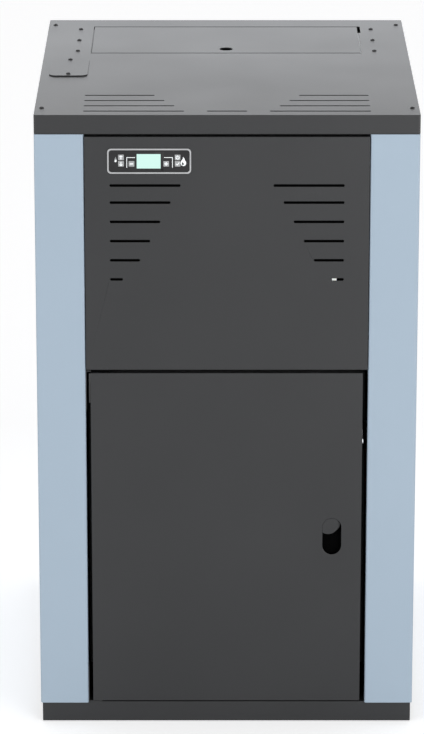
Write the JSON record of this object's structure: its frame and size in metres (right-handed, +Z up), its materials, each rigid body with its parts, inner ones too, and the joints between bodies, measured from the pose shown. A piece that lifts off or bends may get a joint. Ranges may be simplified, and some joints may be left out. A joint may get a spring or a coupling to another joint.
{
  "type": "pellet boiler",
  "caption": "Free-standing wood pellet boiler: sheet-metal cabinet with a front door, top hopper lid, auger feed, water-jacketed firebox and smoke fan.",
  "frame": {"origin": "centre of the plinth's underside, on the floor", "axes": "+Z up, -Y towards the front with the door and the control panel, +X to the right seen from the front"},
  "size_m": [0.6, 0.765, 1.014],
  "materials": {
    "graphite_coat": "fine textured powder coat",
    "blue_coat": "satin powder coat",
    "galvanised": "galvanised sheet",
    "raw_steel": "welded steel plate",
    "cast_iron": "as cast, dark",
    "zinc_plated": "zinc plated",
    "black_steel": "black passivated screws",
    "brass_fittings": "machined brass",
    "black_plastic": "moulded, matt",
    "white_plastic": "moulded, satin",
    "grey_plastic": "moulded, satin",
    "key_plastic": "moulded, satin",
    "lcd_glass": "lit display window",
    "circuit_board": "solder mask",
    "mineral_wool": "mineral wool with a foil face",
    "vermiculite": "pressed fireboard",
    "ceramic": "fired ceramic",
    "red_plastic": "moulded, glossy",
    "red_coat": "gloss enamel"
  },
  "bodies": {
    "cabinet": {"base_tray": "graphite_coat", "left_side_panel": "blue_coat", "right_side_panel": "blue_coat", "rear_panel": "blue_coat", "rear_lower_panel": "blue_coat", "top_frame": "graphite_coat", "top_cover": "graphite_coat", "cover_screws": "black_steel", "service_plate": "graphite_coat", "upper_front_panel": "graphite_coat", "control_bezel": "grey_plastic", "control_fascia": "black_plastic", "display": "lcd_glass", "control_board": "circuit_board", "terminal_block": "white_plastic", "hinge_brackets": "graphite_coat", "magnet_catch": "black_plastic", "boiler_body": "raw_steel", "turbulators": "raw_steel", "smoke_box": "raw_steel", "exchanger_cover": "raw_steel", "insulation": "mineral_wool", "burner_seat": "cast_iron", "igniter": "ceramic", "pellet_chute": "galvanised", "auger_tube": "raw_steel", "hopper": "galvanised", "auger_gearmotor": "raw_steel", "smoke_duct": "galvanised", "fan_housing": "galvanised", "fan_motor": "raw_steel", "flue_spigot": "raw_steel", "air_intake": "galvanised", "supply_pipe": "brass_fittings", "return_pipe": "brass_fittings", "circulation_pump": "cast_iron", "expansion_vessel": "red_coat", "safety_group": "brass_fittings", "drain_valve": "brass_fittings", "power_inlet": "black_plastic"},
    "front_door": {"front_door": "graphite_coat", "door_fittings": "zinc_plated"},
    "door_lock": {"door_lock": "graphite_coat"},
    "fire_door": {"fire_door": "cast_iron", "fire_door_lining": "vermiculite"},
    "fire_door_handle": {"fire_door_handle": "zinc_plated"},
    "ash_pan": {"ash_pan": "galvanised"},
    "burn_pot": {"burn_pot": "cast_iron"},
    "hopper_lid": {"hopper_lid": "graphite_coat"},
    "auger": {"auger_shaft": "raw_steel", "auger_flight": "raw_steel"},
    "fan_impeller": {"fan_impeller": "galvanised"},
    "power_rocker": {"power_rocker": "red_plastic"},
    "drain_handle": {"drain_handle": "red_plastic"},
    "key_back": {"key_back": "key_plastic"},
    "key_menu": {"key_menu": "key_plastic"},
    "key_minus": {"key_minus": "key_plastic"},
    "key_plus": {"key_plus": "key_plastic"},
    "key_set": {"key_set": "key_plastic"},
    "key_start": {"key_start": "key_plastic"}
  },
  "joints": [
    {"name": "front_door_hinge", "type": "hinge", "parent": "cabinet", "child": "front_door", "pos_m": [-0.206, -0.3335, 0], "axis": [0, 0, -1], "range_deg": [0, 110]},
    {"name": "door_lock_turn", "type": "hinge", "parent": "front_door", "child": "door_lock", "pos_m": [0.162, -0.33, 0.3387], "axis": [0, 1, 0], "range_deg": [0, 90]},
    {"name": "fire_door_hinge", "type": "hinge", "parent": "cabinet", "child": "fire_door", "pos_m": [-0.18, -0.309, 0.3], "axis": [0, 0, -1], "range_deg": [0, 99]},
    {"name": "fire_door_handle_turn", "type": "hinge", "parent": "fire_door", "child": "fire_door_handle", "pos_m": [0.138, -0.31, 0.3825], "axis": [0, 1, 0], "range_deg": [0, 75]},
    {"name": "ash_pan_slide", "type": "slide", "parent": "cabinet", "child": "ash_pan", "axis": [0, -1, 0], "range_m": [0, 0.2]},
    {"name": "burn_pot_lift", "type": "slide", "parent": "cabinet", "child": "burn_pot", "axis": [0, 0, 1], "range_m": [0, 0.055]},
    {"name": "hopper_lid_hinge", "type": "hinge", "parent": "cabinet", "child": "hopper_lid", "pos_m": [0, 0.2835, 1.004], "axis": [-1, 0, 0], "range_deg": [0, 95]},
    {"name": "auger_spin", "type": "hinge", "parent": "cabinet", "child": "auger", "pos_m": [0, 0.19, 0.445], "axis": [0, -0.7071, 0.7071], "continuous": true},
    {"name": "fan_spin", "type": "hinge", "parent": "cabinet", "child": "fan_impeller", "pos_m": [-0.06, 0.062, 0.29], "axis": [1, 0, 0], "continuous": true},
    {"name": "power_rocker_tilt", "type": "hinge", "parent": "cabinet", "child": "power_rocker", "pos_m": [0.2, 0.3395, 0.576], "axis": [1, 0, 0], "range_deg": [-8, 8]},
    {"name": "drain_handle_turn", "type": "hinge", "parent": "cabinet", "child": "drain_handle", "pos_m": [-0.175, 0.366, 0.12], "axis": [0, 0, 1], "range_deg": [0, 90]},
    {"name": "key_back_press", "type": "slide", "parent": "cabinet", "child": "key_back", "axis": [0, 1, 0], "range_m": [0, 0.0008], "stiffness_N_per_m": 300},
    {"name": "key_menu_press", "type": "slide", "parent": "cabinet", "child": "key_menu", "axis": [0, 1, 0], "range_m": [0, 0.0008], "stiffness_N_per_m": 300},
    {"name": "key_minus_press", "type": "slide", "parent": "cabinet", "child": "key_minus", "axis": [0, 1, 0], "range_m": [0, 0.0008], "stiffness_N_per_m": 300},
    {"name": "key_plus_press", "type": "slide", "parent": "cabinet", "child": "key_plus", "axis": [0, 1, 0], "range_m": [0, 0.0008], "stiffness_N_per_m": 300},
    {"name": "key_set_press", "type": "slide", "parent": "cabinet", "child": "key_set", "axis": [0, 1, 0], "range_m": [0, 0.0008], "stiffness_N_per_m": 300},
    {"name": "key_start_press", "type": "slide", "parent": "cabinet", "child": "key_start", "axis": [0, 1, 0], "range_m": [0, 0.0008], "stiffness_N_per_m": 300}
  ],
  "couplings": [
    {"joint": "fire_door_hinge", "follows": "front_door_hinge", "ratio": 0.9},
    {"joint": "ash_pan_slide", "follows": "front_door_hinge", "m_per_rad": 0.104}
  ]
}
